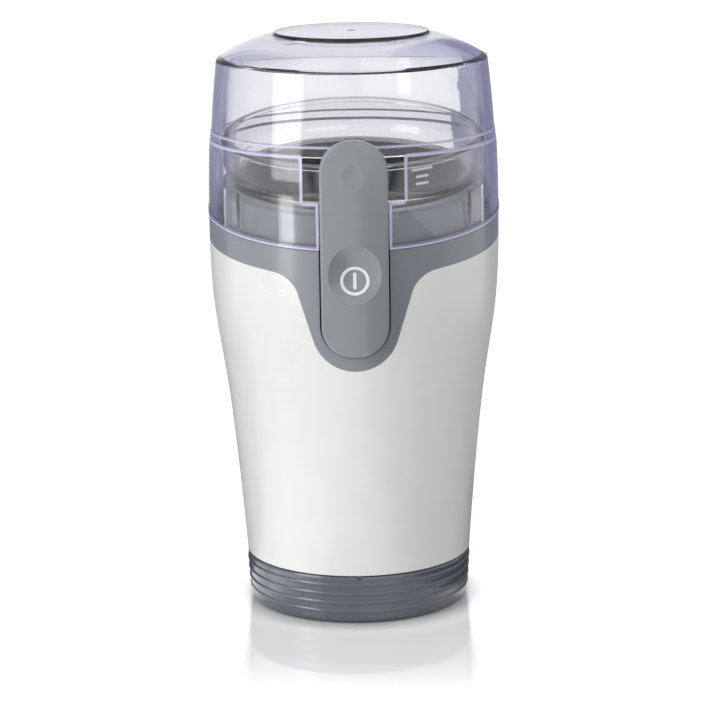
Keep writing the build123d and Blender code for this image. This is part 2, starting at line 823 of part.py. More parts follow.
def lever():
    """Press lever: a long thin paddle with a hub on its pin and a heel that works the switch."""
    outline = bar_outline(lever_half, lever_bottom_z, lever_top_z, lever_round)
    part = (front_prism(outline) & lever_front()) - behind_lever()
    part = fillet(part.faces().sort_by(Axis.Y)[0].edges(), lever_edge)
    part -= pressing_ball(dish_sphere_r, dish_depth, dish_z)
    part -= pressing_ball(thumb_sphere_r, thumb_depth, thumb_z)
    part -= icon_prism() & pressing_ball(dish_sphere_r, dish_depth, dish_z, icon_depth)
    foot = block((-ear_outer, ear_outer), (foot_front_y, foot_back_y), (pivot_z - ear_r, foot_top_z))
    part += foot & front_prism(outline)
    ear = block((ear_inner, ear_outer), (foot_back_y - weld, pivot_y), (ear_block_z, foot_top_z))
    ear += rod(ear_r, ear_outer - ear_inner, (ear_inner + ear_outer) / 2, pivot_y, pivot_z)
    heel = block((-heel_half, heel_half), (foot_back_y - weld, heel_end_y),
                 (heel_bottom_z, heel_bottom_z + heel_thickness))
    heel += rod(ear_r, 2 * heel_half, 0, pivot_y, pivot_z)
    part += ear + mirror(ear, about=Plane.YZ) + heel
    return part - rod(pivot_r + pivot_clearance, 4 * ear_outer, 0, pivot_y, pivot_z)


def power_symbol():
    """Pale inlay in the lever's dish: a closed ring and a bar."""
    layer = pressing_ball(dish_sphere_r, dish_depth, dish_z, icon_depth)
    layer -= pressing_ball(dish_sphere_r, dish_depth, dish_z, -icon_proud)
    return group([icon_prism() & layer])


def lever_pin():
    """Steel pin through the cheeks and the lever's hub."""
    length = 2 * (lever_half + pocket_gap + cheek_wall) - 4 * weld
    return rod(pivot_r, length, 0, pivot_y, pivot_z)


def lever_springs():
    """Two torsion springs on the pin, with a leg behind the lever and one on the rest bar."""
    width = spring_end_x - spring_start_x
    coil = Helix(width / spring_turns, width, spring_r)
    up_leg = Line(coil @ 0 - (coil % 0) * spring_up_leg, coil @ 0)
    back_leg = Line(coil @ 1, coil @ 1 + (coil % 1) * spring_back_leg)
    path = Wire([up_leg.edge(), coil.edge(), back_leg.edge()])
    spring = sweep(Plane(path @ 0, z_dir=path % 0) * Circle(spring_wire_r), path)
    place = Plane(origin=(spring_start_x, pivot_y, pivot_z), x_dir=(0, -1, 0), z_dir=(1, 0, 0))
    right = place.location * spring
    return group([right, mirror(right, about=Plane.YZ)])


# ---------------------------------------------------------------- lid
def lid_cap(inset):
    """Rounded shoulder, domed top and flat plateau of the lid, pulled in by inset."""
    def point(radius, height, lean):
        return radius - inset * sin(radians(lean)), height - inset * cos(radians(lean))

    side_r = crown_r - lid_dome_inset - inset
    shoulder = point(lid_dome_edge_r, lid_dome_edge_z, lid_dome_edge_lean)
    turn = point(crown_r - lid_dome_inset - lid_turn_inset, crown_z + lid_turn_rise, lid_turn_lean)
    dome = point(lid_dome_mid_r, lid_dome_mid_z, lid_dome_mid_lean)
    step = point(lid_step_r, lid_step_z, lid_plateau_lean)
    rim = point(lid_plateau_r, top_z, lid_plateau_lean)
    with BuildSketch(Plane.XZ) as section:
        with BuildLine():
            ThreePointArc((side_r, crown_z), turn, shoulder)
            ThreePointArc(shoulder, dome, step)
            Polyline(step, rim, (0, rim[1]), (0, crown_z), (side_r, crown_z))
        make_face()
    return revolve(section.sketch, Axis.Z)


def lid_notch():
    """T-shaped notch in the front of the skirt that the lever works in."""
    narrow = block((-notch_half, notch_half), (-top_z, 0), (0, notch_step_z + weld))
    wide = block((-notch_top_half, notch_top_half), (-top_z, 0), (notch_step_z, ring_z))
    return narrow + wide


def lid_ribs():
    """Locating ribs inside the skirt, two in front and two behind."""
    low_r = neck_r + fit_gap
    top = under_slant(lid_rib_z)
    ring = (form_solid(lid_wall / 2) & top) - disc(low_r, 0, top_z)
    half = lid_rib_half_angle
    ribs = []
    for azimuth in (lid_rib_azimuth, -lid_rib_azimuth, 180 - lid_rib_azimuth, 180 + lid_rib_azimuth):
        corners = [(0, 0), polar(2 * neck_r, azimuth - half), polar(2 * neck_r, azimuth + half)]
        wedge = extrude(make_face(Polyline(*corners, close=True)), amount=top_z)
        ribs.append(ring & wedge)
    return ribs


def lid():
    """Clear lid: slanted skirt, raised ring, tapered wall, domed top, notch and ribs."""
    outer = form_solid(0, collar_z - big / 8, ring_z)
    outer += form_solid(lid_ring_inset, ring_z - weld, lid_ring_top_z)
    outer += form_solid(lid_dome_inset, lid_ring_top_z - weld, crown_z) + lid_cap(0)
    outer += form_solid(-lid_lip_bead) & under_slant(lip_z + fit_gap + lid_lip_height)
    inset = lid_dome_inset + lid_wall
    inner = form_solid(lid_wall, seam_z, ring_z - lid_wall) + form_solid(inset) + lid_cap(lid_wall)
    part = joined([outer - inner] + lid_ribs())
    part -= lid_notch()
    part -= under_slant(lip_z + fit_gap)
    return part - disc(lid_gate_r, top_z - lid_gate_depth, top_z)


# ---------------------------------------------------------------- chamber
def cup_form(side_r, shoulder, bottom, top):
    """Flared upper part of the cup, turned about an axis square to its slanted rim."""
    with BuildSketch(Plane.XZ) as section:
        with BuildLine():
            Line((side_r, top), (side_r, -cup_straight))
            ThreePointArc((side_r, -cup_straight), shoulder, bottom)
            Polyline(bottom, (0, bottom[1]), (0, top), (side_r, top))
        make_face()
    return Pos(0, 0, cup_rim_z) * Rot(slant, 0, 0) * revolve(section.sketch, Axis.Z)


def chamber_cup():
    """Clear grinding cup: a straight stem in the well and a wider slanted rim above the neck."""
    stem_top = under_slant(cup_rim_z - cup_joint_drop)
    outer = cup_form(cup_r, (cup_shoulder_r, -cup_shoulder_drop), (cup_stem_r, -cup_bottom_drop), 0)
    outer += disc(cup_stem_r, cup_bottom_z, top_z) & stem_top
    bead = tube(cup_r + cup_rim_bead, cup_r - cup_wall / 2, -cup_bead_height, 0)
    bead = fillet(bead.edges().group_by(SortBy.LENGTH)[-1], cup_rim_bead * 0.9)
    inner = cup_form(cup_r - cup_wall, (cup_inner_shoulder_r, -cup_inner_shoulder_drop),
                     (cup_inner_r, -cup_inner_bottom_drop), cup_wall)
    inner += disc(cup_inner_r, 0, top_z) & stem_top
    return outer + Pos(0, 0, cup_rim_z) * Rot(slant, 0, 0) * bead - inner


def chamber_base():
    """Moulded floor under the bowl, with the bushing's boss and room for the coupling."""
    part = disc(cup_stem_r, chamber_bottom_z, cup_bottom_z)
    part += disc(cup_inner_r - chamber_plug_gap, chamber_bottom_z, chamber_floor_z)
    part += disc(chamber_boss_r, bushing_z, chamber_boss_z)
    part -= disc(chamber_recess_r, 0, bushing_z)
    groove = tube(chamber_groove_outer_r, chamber_groove_inner_r, chamber_bottom_z, chamber_groove_top_z)
    part -= groove
    half = key_width / 2 + fit_gap
    low, high = key_ring - key_length / 2 - fit_gap, key_ring + key_length / 2 + fit_gap
    pocket = block((low, high), (-half, half), (0, deck_z + key_height + fit_gap))
    for turn in around(key_count, key_start):
        part -= turn * pocket
    return part - disc(blade_shaft_r + running_gap + bushing_wall, 0, top_z)


def grinding_bowl():
    """Stainless bowl: pressed floor, rounded corner and short wall, with a hole for the boss."""
    outer_r = cup_inner_r - bowl_gap
    outer = disc(outer_r, chamber_floor_z, chamber_floor_z + bowl_height)
    outer = fillet(outer.edges().group_by(Axis.Z)[0], bowl_corner)
    inner = disc(outer_r - bowl_wall, chamber_floor_z + bowl_wall, chamber_floor_z + bowl_height)
    inner = fillet(inner.edges().group_by(Axis.Z)[0], bowl_corner - bowl_wall)
    return outer - inner - disc(chamber_boss_r + close_gap, 0, top_z)


def level_marks():
    """Plain fill lines on the front of the cup."""
    marks = []
    for i in range(mark_count):
        high = -mark_first_drop - mark_pitch * i
        ring = tube(cup_r + mark_depth, cup_r, high - mark_height, high)
        half = mark_half_angle * (1 if i == 0 else 0.6)
        corners = [(0, 0), polar(2 * cup_r, mark_azimuth - half), polar(2 * cup_r, mark_azimuth + half)]
        wedge = Pos(0, 0, -cup_rim_z) * extrude(make_face(Polyline(*corners, close=True)), amount=top_z)
        marks.append(Pos(0, 0, cup_rim_z) * Rot(slant, 0, 0) * (ring & wedge))
    return group(marks)


# ---------------------------------------------------------------- blade and its shaft
def blade_shaft():
    """Steel shaft that carries the blade."""
    low = drive_lug_z + fit_gap
    shaft = disc(blade_shaft_r, low, blade_top_z + nut_height + fit_gap)
    shaft = chamfer(shaft.edges().group_by(Axis.Z)[0], blade_shaft_r / 6)
    return shaft + disc(shoulder_disc_r, blade_z - shoulder_disc_height, blade_z)


def shaft_bushing():
    """Bronze bushing pressed into the chamber's boss."""
    inner = blade_shaft_r + running_gap
    return tube(inner + bushing_wall, inner, bushing_z, chamber_boss_z)


def shaft_seal():
    """Rubber seal on top of the boss, just off the shaft."""
    part = tube(seal_r, blade_shaft_r + running_gap, chamber_boss_z, chamber_boss_z + seal_height)
    return chamfer(part.edges().group_by(Axis.Z)[-1].sort_by(SortBy.LENGTH)[-1], seal_height * 0.6)


def blade_wing(bend):
    """One wing of the blade, tapered to a rounded tip, bevelled and bent from the middle."""
    tip_x = blade_reach - blade_bend_x
    turn_x = tip_x - blade_tip_half
    with BuildSketch() as plan:
        with BuildLine():
            Polyline((-blade_overlap, blade_root_half), (0, blade_root_half), (turn_x, blade_tip_half))
            ThreePointArc((turn_x, blade_tip_half), (tip_x, 0), (turn_x, -blade_tip_half))
            Polyline((turn_x, -blade_tip_half), (0, -blade_root_half), (-blade_overlap, -blade_root_half))
            Line((-blade_overlap, -blade_root_half), (-blade_overlap, blade_root_half))
        make_face()
    wing = extrude(plan.sketch, amount=blade_thickness)
    edge = wing.edges().group_by(Axis.Z)[-1].sort_by(Axis.Y)[-1]
    wing = chamfer(edge, blade_thickness * 0.7, blade_thickness * 1.6)
    middle = blade_thickness / 2
    return Pos(blade_bend_x, 0, blade_z + middle) * Rot(0, -bend, 0) * Pos(0, 0, -middle) * wing


def blade():
    """Two-winged steel blade, one wing bent up and the other down."""
    half = blade_root_half
    middle = block((-blade_bend_x, blade_bend_x), (-half, half), (blade_z, blade_top_z))
    part = middle + blade_wing(blade_bend_up) + Rot(0, 0, 180) * blade_wing(-blade_bend_down)
    return part - disc(blade_shaft_r, 0, top_z)


def blade_nut():
    """Domed hexagon nut that holds the blade down."""
    flange = disc(nut_r + nut_lip, blade_top_z, blade_top_z + nut_lip)
    hexagon = extrude(RegularPolygon(nut_r, 6), amount=nut_height)
    part = flange + Pos(0, 0, blade_top_z) * hexagon
    dome = Pos(0, 0, blade_top_z + nut_height) * Sphere(nut_r * 0.92)
    part += dome & disc(nut_r * 0.92, blade_top_z + nut_height, blade_top_z + nut_height + nut_r * 0.45)
    return part - disc(blade_shaft_r, 0, blade_top_z + nut_height + fit_gap)


def lugs(low, high, start):
    """Driving lugs of a coupling, spread round its rim."""
    half = lug_angle / 2
    ring = tube(coupling_r - weld, lug_inner_r, low, high)
    corners = [(0, 0), polar(2 * coupling_r, -half), polar(2 * coupling_r, half)]
    wedge = extrude(make_face(Polyline(*corners, close=True)), amount=top_z)
    return [turn * (ring & wedge) for turn in around(lug_count, start)]


def drive_coupling():
    """Lower half of the dog coupling, on the motor shaft."""
    plate = disc(coupling_r, drive_coupling_z, drive_lug_z)
    part = joined([plate] + lugs(drive_lug_z - weld, drive_lug_z + lug_height, 0))
    return part - disc(motor_shaft_r, 0, top_z)


def blade_coupling():
    """Upper half of the dog coupling, on the blade shaft."""
    plate = disc(coupling_r, blade_coupling_z, blade_coupling_z + blade_coupling_plate)
    low = drive_lug_z + fit_gap
    part = joined([plate] + lugs(low, blade_coupling_z + weld, 180 / lug_count))
    return part - disc(blade_shaft_r, 0, top_z)


def thrust_washer():
    """Washer between the blade's coupling and the bushing."""
    return tube(thrust_r, blade_shaft_r, thrust_z, thrust_z + thrust_thickness)


# ---------------------------------------------------------------- motor
def corner_places():
    """Places of the motor's four corner screws."""
    return [(x, y) for x in (-motor_screw_x, motor_screw_x) for y in (-motor_screw_y, motor_screw_y)]


def bracket_arms(low, high):
    """Cross-shaped arms from the middle to the four corner posts."""
    arms = []
    for x, y in corner_places():
        angle = degrees(asin(y / hypot(x, y))) if x > 0 else 180 - degrees(asin(y / hypot(x, y)))
        arm = block((0, hypot(x, y)), (-bracket_arm / 2, bracket_arm / 2), (low, high))
        arms.append(Rot(0, 0, angle) * arm + disc(bracket_arm / 2, low, high, x, y))
    return arms


def lower_bracket():
    """Lower motor bracket: arms, corner posts, bearing boss and brush pedestals."""
    top = bracket_z + bracket_thickness
    pedestal_top = brush_z - brush_height / 2 - holder_wall
    part = joined([disc(bracket_hub_r, bracket_z, top)] + bracket_arms(bracket_z, top))
    part += disc(bearing_boss_r, bracket_z, lower_bearing_z + bearing_length - weld)
    half = brush_width / 2 + holder_wall
    for x, y in corner_places():
        part += disc(motor_post_r, bracket_z, stator_z, x, y)
        part -= disc(motor_screw_r + screw_clearance, 0, stator_z, x, y)
    foot = block((pedestal_inner_x, holder_outer_x), (-half, half), (bracket_z, pedestal_top))
    part += foot + mirror(foot, about=Plane.YZ)
    return part - disc(motor_shaft_r + running_gap + bearing_wall, lower_bearing_z, top_z)


def upper_bracket():
    """Upper motor bracket: plate, corner posts and bearing boss."""
    low, top = upper_bracket_z, upper_bracket_z + bracket_thickness
    part = joined([disc(upper_plate_r, low, top)] + bracket_arms(low, top))
    part += disc(bearing_boss_r, upper_bearing_z + weld, upper_bearing_z + bearing_length - weld)
    for x, y in corner_places():
        part += disc(motor_post_r, stator_top_z, top, x, y)
        part -= disc(motor_screw_r + thread_clearance, 0, top, x, y)
    for turn in around(mount_count, 90):
        part -= turn * disc(screw_r + thread_clearance, 0, top_z, mount_ring)
        window = tube(mount_ring + 1.6, bearing_boss_r + 2.0, low, top)
        wedge_points = [(0, 0), polar(2 * upper_plate_r, -26), polar(2 * upper_plate_r, 26)]
        wedge = extrude(make_face(Polyline(*wedge_points, close=True)), amount=top_z)
        part -= turn * Rot(0, 0, 30) * (window & wedge)
    return part - disc(motor_shaft_r + running_gap + bearing_wall, 0, top_z)


def bearing(low):
    """Sintered bushing for the motor shaft."""
    inner = motor_shaft_r + running_gap
    return tube(inner + bearing_wall, inner, low, low + bearing_length)


def motor_shaft():
    """Steel shaft from the lower bearing to the drive coupling."""
    shaft = disc(motor_shaft_r, lower_bearing_z + fit_gap, drive_lug_z)
    return chamfer(shaft.edges().group_by(Axis.Z)[-1], motor_shaft_r / 8)


def armature_core():
    """Laminated core with its winding slots."""
    core = tube(armature_r, motor_shaft_r, stator_z, stator_top_z)
    low = armature_r - slot_depth
    slot = block((low, 2 * armature_r), (-slot_width / 2, slot_width / 2), (0, top_z))
    for turn in around(slot_count):
        core -= turn * slot
    return core


def armature_windings():
    """Copper in the slots and the overhangs at both ends."""
    half = slot_width / 2 - slot_lining
    low, high = armature_r - slot_depth + slot_lining, armature_r - air_gap
    bar = block((low, high), (-half, half), (stator_z - overhang / 2, stator_top_z + overhang / 2))
    ends = []
    for base in (stator_z - overhang, stator_top_z + slot_lining):
        end = tube(winding_r, winding_inner_r, base, base + overhang - slot_lining)
        ends.append(fillet(end.edges().filter_by(GeomType.CIRCLE).sort_by(SortBy.LENGTH)[-2:], overhang / 3))
    return joined(ends + [turn * bar for turn in around(slot_count)])


def commutator():
    """Segmented copper commutator on the shaft."""
    part = tube(commutator_r, motor_shaft_r, commutator_z, commutator_z + commutator_length)
    low = commutator_r - commutator_slit_depth
    half = commutator_slit / 2
    slit = block((low, 2 * commutator_r), (-half, half), (0, top_z))
    for turn in around(commutator_bars, 180 / commutator_bars):
        part -= turn * slit
    riser_low = stator_z - overhang - riser_height
    return part + tube(riser_r, motor_shaft_r, riser_low, riser_low + riser_height)


def cooling_fan():
    """Flat fan above the armature."""
    parts = [disc(fan_r, fan_z, fan_z + fan_plate), disc(fan_hub_r, fan_z, fan_z + fan_height)]
    half = fan_blade_thickness / 2
    vane = block((fan_hub_r - 1, fan_r - 1), (-half, half), (fan_z, fan_z + fan_height))
    parts += [turn * vane for turn in around(fan_blades)]
    return joined(parts) - disc(motor_shaft_r, 0, top_z)


def stator_core():
    """Laminated two-pole stator with its corner screw holes."""
    yoke = extrude(RectangleRounded(2 * stator_half_x, 2 * stator_half_y, stator_corner), amount=stack)
    yoke -= extrude(RectangleRounded(2 * window_half_x, 2 * window_half_y, window_corner), amount=stack)
    pole = block((0, window_half_x + 1), (-pole_half, pole_half), (0, stack))
    shoe = tube(bore_r + shoe_thickness, bore_r, 0, stack)
    edge_x, edge_y = 4 * bore_r * cos(radians(shoe_half_angle)), 4 * bore_r * sin(radians(shoe_half_angle))
    corners = [(0, 0), (edge_x, -edge_y), (edge_x, edge_y)]
    shoe &= extrude(make_face(Polyline(*corners, close=True)), amount=stack)
    half_set = pole + shoe
    part = yoke + half_set + Rot(0, 0, 180) * half_set
    part = Pos(0, 0, stator_z) * (part - disc(bore_r, 0, stack))
    for x, y in corner_places():
        part -= disc(motor_screw_r + screw_clearance, stator_z, stator_top_z, x, y)
    return part


def field_coil():
    """Wound coil round the right-hand pole."""
    inner_y, inner_z = pole_half + coil_gap, stack / 2 + coil_gap
    outer_x = window_half_x - coil_gap
    with BuildSketch(Plane.YZ.offset(outer_x - coil_thickness)) as loop:
        with Locations((0, stator_z + stack / 2)):
            RectangleRounded(2 * (inner_y + coil_build), 2 * (inner_z + coil_build), coil_corner)
            RectangleRounded(2 * inner_y, 2 * inner_z, coil_corner / 8, mode=Mode.SUBTRACT)
    return extrude(loop.sketch, amount=coil_thickness)


def brush_holders():
    """Two brass tubes that guide the brushes."""
    half_y, half_z = brush_width / 2, brush_height / 2
    wall = holder_wall
    y_range, z_range = (-half_y, half_y), (brush_z - half_z, brush_z + half_z)
    outer = block((holder_inner_x, holder_outer_x), (-half_y - wall, half_y + wall),
                  (z_range[0] - wall, z_range[1] + wall))
    holder = outer - block((0, holder_outer_x - wall), y_range, z_range)
    return group([holder, mirror(holder, about=Plane.YZ)])


def carbon_brushes():
    """Two carbon blocks that bear on the commutator."""
    half_y, half_z = brush_width / 2 - running_gap, brush_height / 2 - running_gap
    tip = commutator_r + brush_gap
    brush = block((tip - 1, tip + brush_length), (-half_y, half_y), (brush_z - half_z, brush_z + half_z))
    brush -= disc(tip, 0, top_z)
    return group([brush, mirror(brush, about=Plane.YZ)])


def brush_springs():
    """Coil springs behind the brushes."""
    start = commutator_r + brush_gap + brush_length + brush_spring_wire_r + running_gap
    end = holder_outer_x - holder_wall - brush_spring_wire_r - running_gap
    pitch = (end - start) / brush_spring_turns
    coil = helix_wire(brush_spring_r, brush_spring_wire_r, brush_spring_turns, pitch)
    spring = Pos(start, 0, brush_z) * Rot(0, 90, 0) * coil
    return group([spring, mirror(spring, about=Plane.YZ)])


def motor_screws():
    """Four long screws that clamp the brackets to the stator."""
    length = upper_bracket_z + bracket_thickness - bracket_z
    long_screw = screw(length, motor_screw_r, screw_head_r, ceiling_thickness / 2)
    return group([Pos(x, y, bracket_z) * long_screw for x, y in corner_places()])


def mount_screws():
    """Three screws from the deck down into the upper bracket."""
    seat = Pos(mount_ring, 0, deck_z - screw_head_height) * Rot(180, 0, 0) * screw(mount_screw_length)
    return group([turn * seat for turn in around(mount_count, 90)])


def mount_washers():
    """Rubber washers between deck and upper bracket."""
    low = deck_bottom_z - mount_washer_height
    washer = tube(mount_washer_r, screw_r + screw_clearance, low, deck_bottom_z)
    return group([turn * (Pos(mount_ring, 0, 0) * washer) for turn in around(mount_count, 90)])


def motor_cushion():
    """Rubber ring between the base's ceiling and the lower bracket."""
    return tube(cushion_r, cushion_inner_r, ceiling_z, bracket_z)


# ---------------------------------------------------------------- switch and electrical pieces
def microswitch():
    """Snap switch body with its three terminals."""
    half = switch_length / 2
    y_range = (switch_y - switch_depth / 2, switch_back_y)
    part = block((-half, half), y_range, (switch_z, switch_top_z))
    part = chamfer(part.edges().filter_by(Axis.Y), switch_edge)
    for x in (-terminal_pitch, 0, terminal_pitch):
        flat = terminal_thickness / 2
        part += block((x - terminal_width / 2, x + terminal_width / 2), (switch_y - flat, switch_y + flat),
                      (switch_z - terminal_length, switch_z + weld))
    well_z = switch_top_z - plunger_inside - plunger_stroke - fit_gap
    part -= disc(plunger_r + running_gap, well_z, top_z, 0, switch_y)
    for x in (-switch_screw_half_spacing, switch_screw_half_spacing):
        hole = Rot(90, 0, 0) * Cylinder(switch_screw_r + screw_clearance, 2 * switch_depth)
        part -= Pos(x, switch_y, switch_top_z - switch_screw_drop) * hole
    return part


def switch_plunger():
    """Plunger that the lever's heel presses."""
    part = disc(plunger_r, switch_top_z - plunger_inside, plunger_top_z, 0, switch_y)
    return fillet(part.edges().group_by(Axis.Z)[-1], plunger_r / 4)


def switch_screws():
    """Two small screws that hold the switch to its plate."""
    small = screw(switch_screw_length, switch_screw_r, switch_screw_head_r, screw_head_height / 2)
    height = switch_top_z - switch_screw_drop
    places = [Pos(x, switch_back_y, height) for x in (-switch_screw_half_spacing, switch_screw_half_spacing)]
    return group([place * Rot(90, 0, 0) * small for place in places])


def suppression_capacitor():
    """Moulded capacitor bonded to the back of the stator."""
    half = capacitor_width / 2
    y_range = (stator_half_y, stator_half_y + capacitor_depth)
    top = capacitor_z + capacitor_height
    part = block((capacitor_x - half, capacitor_x + half), y_range, (capacitor_z, top))
    part = fillet(part.edges().filter_by(Axis.Z), capacitor_edge)
    for x in (capacitor_x - half / 2, capacitor_x + half / 2):
        part += disc(lead_r, top - weld, top + lead_length, x, stator_half_y + capacitor_depth / 2)
    return part


def thermal_fuse():
    """Thermal fuse strapped to the front of the stator."""
    y, low = -stator_half_y - fuse_r, stator_z + (stack - fuse_length) / 2
    part = disc(fuse_r, low, low + fuse_length, fuse_x, y)
    return part + disc(lead_r, low - lead_length, low + fuse_length + lead_length, fuse_x, y)


# ---------------------------------------------------------------- write every piece
def pieces():
    """Every piece by its node's name."""
    right_coil = field_coil()
    return {
        "base_housing": base_housing(), "rubber_feet": rubber_feet(), "base_screws": base_screws(),
        "cord_gland": cord_gland(), "body_shell": body_shell(), "collar": collar(),
        "collar_screws": collar_screws(), "front_lever": lever(), "power_symbol": power_symbol(),
        "lever_pin": lever_pin(), "lever_springs": lever_springs(), "lid": lid(),
        "chamber_cup": chamber_cup(), "chamber_base": chamber_base(), "grinding_bowl": grinding_bowl(),
        "level_marks": level_marks(), "blade": blade(), "blade_nut": blade_nut(),
        "blade_shaft": blade_shaft(), "shaft_bushing": shaft_bushing(), "shaft_seal": shaft_seal(),
        "thrust_washer": thrust_washer(), "blade_coupling": blade_coupling(),
        "drive_coupling": drive_coupling(),
        "motor_shaft": motor_shaft(), "armature_core": armature_core(),
        "armature_windings": armature_windings(), "commutator": commutator(), "cooling_fan": cooling_fan(),
        "stator_core": stator_core(), "field_coil_right": right_coil,
        "field_coil_left": mirror(right_coil, about=Plane.YZ), "lower_bracket": lower_bracket(),
        "upper_bracket": upper_bracket(), "lower_bearing": bearing(lower_bearing_z),
        "upper_bearing": bearing(upper_bearing_z), "brush_holders": brush_holders(),
        "carbon_brushes": carbon_brushes(), "brush_springs": brush_springs(), "motor_screws": motor_screws(),
        "mount_screws": mount_screws(), "mount_washers": mount_washers(), "motor_cushion": motor_cushion(),
        "microswitch": microswitch(), "switch_plunger": switch_plunger(), "switch_screws": switch_screws(),
        "suppression_capacitor": suppression_capacitor(), "thermal_fuse": thermal_fuse(),
    }


os.makedirs("parts", exist_ok=True)
for name, shape in pieces().items():
    export_step(shape, f"parts/{name}.step")
lever_travel = degrees(asin(plunger_stroke / (switch_y - pivot_y)))
print(f"lever travel {lever_travel:.3f} degrees, plunger {plunger_stroke} mm")
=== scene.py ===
# %% [markdown]
# # Electric spice grinder: finishes, light and camera
#
# The engineering model of the grinder comes in as a fixed frame: every shell, screw and
# spring is already in its place, in metres, with +Z up and the press lever facing -Y.
# This script gives each piece the finish of the real material and sets up a small studio
# round it. It adds no shape of its own.

# %% Load the frame
import json
import math

import bpy
from mathutils import Matrix, Vector

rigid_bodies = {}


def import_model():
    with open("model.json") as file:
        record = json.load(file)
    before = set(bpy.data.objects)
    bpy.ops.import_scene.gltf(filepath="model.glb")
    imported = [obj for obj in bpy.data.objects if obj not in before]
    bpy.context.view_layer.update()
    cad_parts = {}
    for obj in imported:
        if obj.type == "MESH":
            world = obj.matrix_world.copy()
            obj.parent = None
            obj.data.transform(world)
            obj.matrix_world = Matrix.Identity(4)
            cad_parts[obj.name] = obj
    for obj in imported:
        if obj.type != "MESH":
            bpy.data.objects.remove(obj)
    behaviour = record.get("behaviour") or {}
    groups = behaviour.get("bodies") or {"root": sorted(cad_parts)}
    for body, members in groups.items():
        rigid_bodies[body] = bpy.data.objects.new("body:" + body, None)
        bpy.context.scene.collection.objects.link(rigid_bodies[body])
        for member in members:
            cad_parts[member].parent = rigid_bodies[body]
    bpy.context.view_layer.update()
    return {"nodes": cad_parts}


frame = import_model()
nodes = frame["nodes"]
bpy.ops.object.select_all(action="DESELECT")

# %% [markdown]
# ## Camera
#
# A product shot of something this small is taken with a long lens from well back, a little
# above the lid, so that the body's sides stay almost upright. A 135 mm lens on a full
# frame sensor, 83 cm in front of the drive axis and looking down 13 degrees, shows the
# lid's top, the chamber through the lid, and the lever in one view.

# %% Camera
camera_place = Vector((0.0, -0.830, 0.2692))
camera_dip = math.radians(13.1)
camera_roll = math.radians(0.86)
picture_width = 720
shift_pixels = 4

camera_data = bpy.data.cameras.new("studio_camera")
camera_data.lens = 135.0
camera_data.sensor_width = 36.0
camera_data.shift_x = shift_pixels / picture_width
camera = bpy.data.objects.new("studio_camera", camera_data)
bpy.context.scene.collection.objects.link(camera)
tilt = Matrix.Rotation(math.radians(90) - camera_dip, 3, "X")
turn = Matrix.Rotation(-camera_roll, 3, "Z")
camera.location = camera_place
camera.rotation_euler = (tilt @ turn).to_euler()
bpy.context.scene.camera = camera
bpy.context.scene.view_settings.view_transform = "Standard"
print("camera at", tuple(camera.location))

# %% [markdown]
# ## Node helpers
#
# The world, the floor and the finishes are all node trees, and three steps come back in
# each: arithmetic on values, a ramp from one range to another, and a mix of two shaders.
# Written once, they let the trees below read as what they do.


# %% Node helpers
def math_node(tree, operation, *values):
    """A math node on these values, each a socket or a plain number."""
    step = tree.nodes.new("ShaderNodeMath")
    step.operation = operation
    for place, value in enumerate(values):
        if isinstance(value, float):
            step.inputs[place].default_value = value
        else:
            tree.links.new(value, step.inputs[place])
    return step.outputs[0]


def ramp(tree, value, start, end, low, high, kind="SMOOTHSTEP"):
    """Goes from low to high while the value goes from start to end, and no further."""
    spread = tree.nodes.new("ShaderNodeMapRange")
    spread.interpolation_type = kind
    spread.inputs["From Min"].default_value = start
    spread.inputs["From Max"].default_value = end
    spread.inputs["To Min"].default_value = low
    spread.inputs["To Max"].default_value = high
    tree.links.new(value, spread.inputs["Value"])
    return spread.outputs["Result"]


def mix_shaders(tree, share, first, second):
    """A mix of two shader nodes, which is all the second one where the share is 1."""
    mix = tree.nodes.new("ShaderNodeMixShader")
    tree.links.new(share, mix.inputs["Fac"])
    tree.links.new(first.outputs[0], mix.inputs[1])
    tree.links.new(second.outputs[0], mix.inputs[2])
    return mix


def seen_or_mirrored(tree):
    """1 for what the camera sees straight, in a gloss or through glass, 0 for plain light."""
    path = tree.nodes.new("ShaderNodeLightPath")
    straight = path.outputs["Is Camera Ray"]
    straight_or_gloss = math_node(tree, "MAXIMUM", straight, path.outputs["Is Glossy Ray"])
    return math_node(tree, "MAXIMUM", straight_or_gloss, path.outputs["Is Transmission Ray"])


print("node helpers ready")

# %% [markdown]
# ## A white studio
#
# White plastic against white needs its shape from soft differences of light. The world is
# plain white to the camera and in reflections, but dimmer as a light. The modelling comes
# from a tall soft box on the left and a wide one high on the right. A small square lamp low
# on the left puts a highlight on the foot's ribs.

# %% World
ambient_strength = 0.40
backdrop_strength = 1.0

world = bpy.data.worlds.new("white_studio")
bpy.context.scene.world = world
world.use_nodes = True
sky = world.node_tree
sky.nodes.clear()


def background(colour, strength):
    """A plain colour for the world."""
    glow = sky.nodes.new("ShaderNodeBackground")
    glow.inputs["Color"].default_value = (*colour, 1.0)
    glow.inputs["Strength"].default_value = strength
    return glow


ambient = background((0.97, 0.98, 1.0), ambient_strength)
backdrop = background((1.0, 1.0, 1.0), backdrop_strength)
world_mix = mix_shaders(sky, seen_or_mirrored(sky), ambient, backdrop)
world_out = sky.nodes.new("ShaderNodeOutputWorld")
sky.links.new(world_mix.outputs[0], world_out.inputs["Surface"])
print("world ready")

# %% Soft boxes
body_middle = Vector((0.0, 0.0, 0.09))


